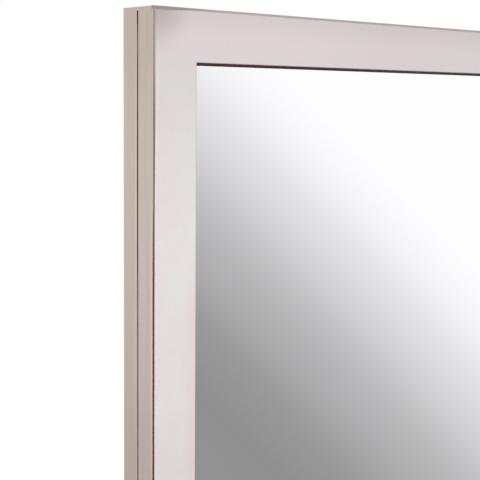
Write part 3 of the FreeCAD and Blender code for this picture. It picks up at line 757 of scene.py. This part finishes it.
FLOOR_RADIUS = 2.2
FLOOR_SIDES = 96
FLOOR_TONE = 0.86
FLOOR_FADE = (0.9, FLOOR_RADIUS * 0.98)


def floor():
    """A pale disc under the mirror that fades into the surround."""
    ring = []
    for index in range(FLOOR_SIDES):
        angle = 2 * math.pi * index / FLOOR_SIDES
        ring.append((FLOOR_RADIUS * math.cos(angle), FLOOR_RADIUS * math.sin(angle), cad_box[0].z))
    mesh = bpy.data.meshes.new("floor")
    mesh.from_pydata(ring, [], [range(FLOOR_SIDES)])
    made = bpy.data.objects.new("floor", mesh)
    bpy.context.scene.collection.objects.link(made)

    material, g = new_material("floor")
    x, y, _ = g.split(g.coordinates("Object"))
    matte = g.node("ShaderNodeBsdfDiffuse")
    matte.inputs["Color"].default_value = grey(FLOOR_TONE)
    clear = g.node("ShaderNodeBsdfTransparent")
    mix = g.node("ShaderNodeMixShader")
    layers = (g.rise(g.diagonal(x, y), FLOOR_FADE), matte.outputs[0], clear.outputs[0])
    for socket, value in zip(mix.inputs, layers):
        g.feed(socket, value)
    g.output(mix)
    mesh.materials.append(material)


# Surround: polished surfaces see white above, grey below and a change that runs aslant.
# The height of the change follows the turn from straight ahead. Angles are in degrees.

AMBIENT = 0.54
LOW_TONE = 0.291
HEIGHT_TONES = [(-15.5, LOW_TONE), (-11.35, 0.384), (-6.15, 0.576), (-0.95, 0.843), (3.0, 1.0)]
RAMP_START = -18.6
RAMP_SPAN = 22.8
SLANT = 0.955
SLANT_MIDDLE = 42.0
SLANT_BELOW = -8.0
SLANT_ABOVE = 12.0
SLANT_FALL = (57.0, 84.0, 0.0, 5.3)


def height_ramp(g, x, y, z):
    """The tone that polished surfaces see in a direction."""
    height = g.math("DEGREES", g.math("ARCSINE", z))
    turn = g.absolute(g.math("DEGREES", g.math("ARCTAN2", x, g.mul(y, -1.0))))
    slant = g.mul(g.low(g.high(g.sub(turn, SLANT_MIDDLE), SLANT_BELOW), SLANT_ABOVE), SLANT)
    slant = g.sub(slant, g.step(turn, *SLANT_FALL))
    ramp = g.node("ShaderNodeValToRGB")
    ramp.color_ramp.interpolation = "CARDINAL"
    stops = ramp.color_ramp.elements
    stops.remove(stops[1])
    stops[0].position = 0.0
    stops[0].color = grey(LOW_TONE)
    for angle, tone in HEIGHT_TONES:
        stops.new((angle - RAMP_START) / RAMP_SPAN).color = grey(tone)
    rise = g.sub(g.add(height, slant), RAMP_START)
    g.feed(ramp.inputs[0], g.math("DIVIDE", rise, RAMP_SPAN, clamp=True))
    return ramp.outputs[0]


def surround():
    """A plain studio: white to the camera, softer as light, and the height ramp to polished surfaces."""
    world = bpy.data.worlds.new("studio")
    world.use_nodes = True
    bpy.context.scene.world = world
    g = Graph(world.node_tree)
    reflected = height_ramp(g, *g.split(g.coordinates("Generated")))
    rays = g.node("ShaderNodeLightPath").outputs
    seen = g.high(rays["Is Camera Ray"], rays["Is Transmission Ray"])
    backdrop = g.pick(seen, AMBIENT, 1.0)
    backdrop = g.join(backdrop, backdrop, backdrop)
    background = g.node("ShaderNodeBackground")
    g.feed(background.inputs["Color"], g.blend(rays["Is Glossy Ray"], backdrop, reflected))
    g.output(background, "ShaderNodeOutputWorld")


# Lamps: name, place, aim, size and watts

LAMPS = [
    ("key", (-1.0, -2.5, 1.15), (-0.2, 0.0, 0.45), 2.4, 71.0),
    ("left_fill", (-2.7, 0.4, 1.1), (0.0, 0.0, 0.5), 2.0, 34.0),
    ("back_fill", (0.9, 2.6, 1.2), (0.0, 0.0, 0.0), 2.4, 70.0),
]


def lamp(name, place, aim, size, watts):
    """A soft square lamp that doesn't show in the glass."""
    light = bpy.data.lights.new(name, "AREA")
    light.size = size
    light.energy = watts
    made = bpy.data.objects.new(name, light)
    made.location = place
    made.rotation_mode = "QUATERNION"
    made.rotation_quaternion = (Vector(aim) - Vector(place)).to_track_quat("-Z", "Y")
    made.visible_glossy = False
    bpy.context.scene.collection.objects.link(made)


# Camera: its place is measured from the upper left corner of the frame's face. Its turns are in degrees.

CAMERA_OFFSET = (-0.5125, -0.6698, -0.0712)
CAMERA_YAW = 41.682
CAMERA_PITCH = -5.211
CAMERA_ROLL = 0.428
CAMERA_LENS = 86.97
CAMERA_SENSOR = 36.0
CAMERA_SHIFT = -0.06
LEVEL = 90.0


def turn_about(axis, degrees):
    return Matrix.Rotation(math.radians(degrees), 3, axis)


def camera():
    lens = bpy.data.cameras.new("camera")
    lens.lens = CAMERA_LENS
    lens.sensor_width = CAMERA_SENSOR
    lens.shift_y = CAMERA_SHIFT
    made = bpy.data.objects.new("camera", lens)
    made.location = Vector((cad_box[0].x, cad_box[0].y, cad_box[1].z)) + Vector(CAMERA_OFFSET)
    aim = turn_about("Z", -CAMERA_YAW) @ turn_about("X", LEVEL + CAMERA_PITCH)
    made.rotation_euler = (aim @ turn_about("Z", CAMERA_ROLL)).to_euler()
    bpy.context.scene.collection.objects.link(made)
    bpy.context.scene.camera = made


floor()
surround()
for settings in LAMPS:
    lamp(*settings)
camera()
bpy.context.scene.view_settings.view_transform = "Standard"
